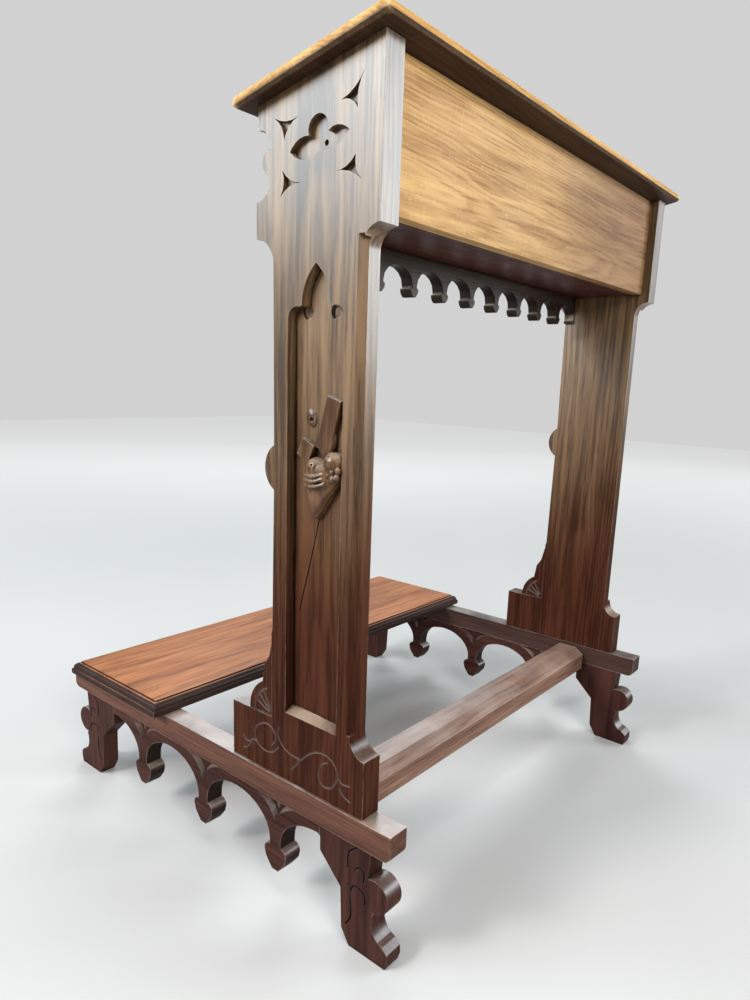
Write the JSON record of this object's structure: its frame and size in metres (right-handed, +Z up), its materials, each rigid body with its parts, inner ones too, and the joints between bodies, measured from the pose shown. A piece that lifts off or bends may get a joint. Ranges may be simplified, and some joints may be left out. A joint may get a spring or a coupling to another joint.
{
  "type": "kneeling desk",
  "caption": "Free-standing carved oak kneeling desk: sloped book rest with an open shelf, carved side panels, sled feet with hanging arcades and a low kneeling board.",
  "frame": {"origin": "middle of the bounding box on the floor, under the four feet", "axes": "+Z up, -Y towards the person who kneels, +Y the closed back, +X towards the kneeler's right hand"},
  "size_m": [0.733, 0.65, 0.9406],
  "materials": {
    "oak_panel": "weathered grey-brown oak, waxed, darker red-brown towards the plinth",
    "oak_carving": "dark carved oak, waxed, rubbed lighter on the high spots",
    "oak_sled": "dark red-brown oak, waxed",
    "oak_worn": "worn and scuffed tan oak, satin",
    "oak_desk": "golden oak, waxed satin",
    "oak_back": "golden figured oak, waxed satin",
    "oak_shelf": "reddish brown oak, waxed",
    "dark_steel": "dark oiled steel"
  },
  "bodies": {
    "root": {"right_side_panel": "oak_panel", "left_side_panel": "oak_panel", "right_heart_carving": "oak_carving", "left_heart_carving": "oak_carving", "right_rail": "oak_sled", "left_rail": "oak_sled", "right_arcade": "oak_sled", "left_arcade": "oak_sled", "front_right_foot": "oak_sled", "front_left_foot": "oak_sled", "rear_right_foot": "oak_sled", "rear_left_foot": "oak_sled", "stretcher": "oak_worn", "kneeling_board": "oak_worn", "desk_top": "oak_desk", "back_panel": "oak_back", "shelf_board": "oak_shelf", "valance": "oak_shelf", "right_desk_cleat": "oak_shelf", "left_desk_cleat": "oak_shelf", "glue_block_1": "oak_shelf", "glue_block_2": "oak_shelf", "glue_block_3": "oak_shelf", "board_screw_front_right": "dark_steel", "board_plug_front_right": "oak_worn", "board_screw_front_left": "dark_steel", "board_plug_front_left": "oak_worn", "board_screw_rear_right": "dark_steel", "board_plug_rear_right": "oak_worn", "board_screw_rear_left": "dark_steel", "board_plug_rear_left": "oak_worn", "desk_screw_right_1": "dark_steel", "desk_screw_right_2": "dark_steel", "foot_dowel_right_1": "oak_sled", "foot_dowel_right_2": "oak_sled", "foot_dowel_right_3": "oak_sled", "foot_dowel_right_4": "oak_sled", "arcade_dowel_right_1": "oak_sled", "arcade_dowel_right_2": "oak_sled", "desk_screw_left_1": "dark_steel", "desk_screw_left_2": "dark_steel", "foot_dowel_left_1": "oak_sled", "foot_dowel_left_2": "oak_sled", "foot_dowel_left_3": "oak_sled", "foot_dowel_left_4": "oak_sled", "arcade_dowel_left_1": "oak_sled", "arcade_dowel_left_2": "oak_sled"}
  },
  "joints": []
}
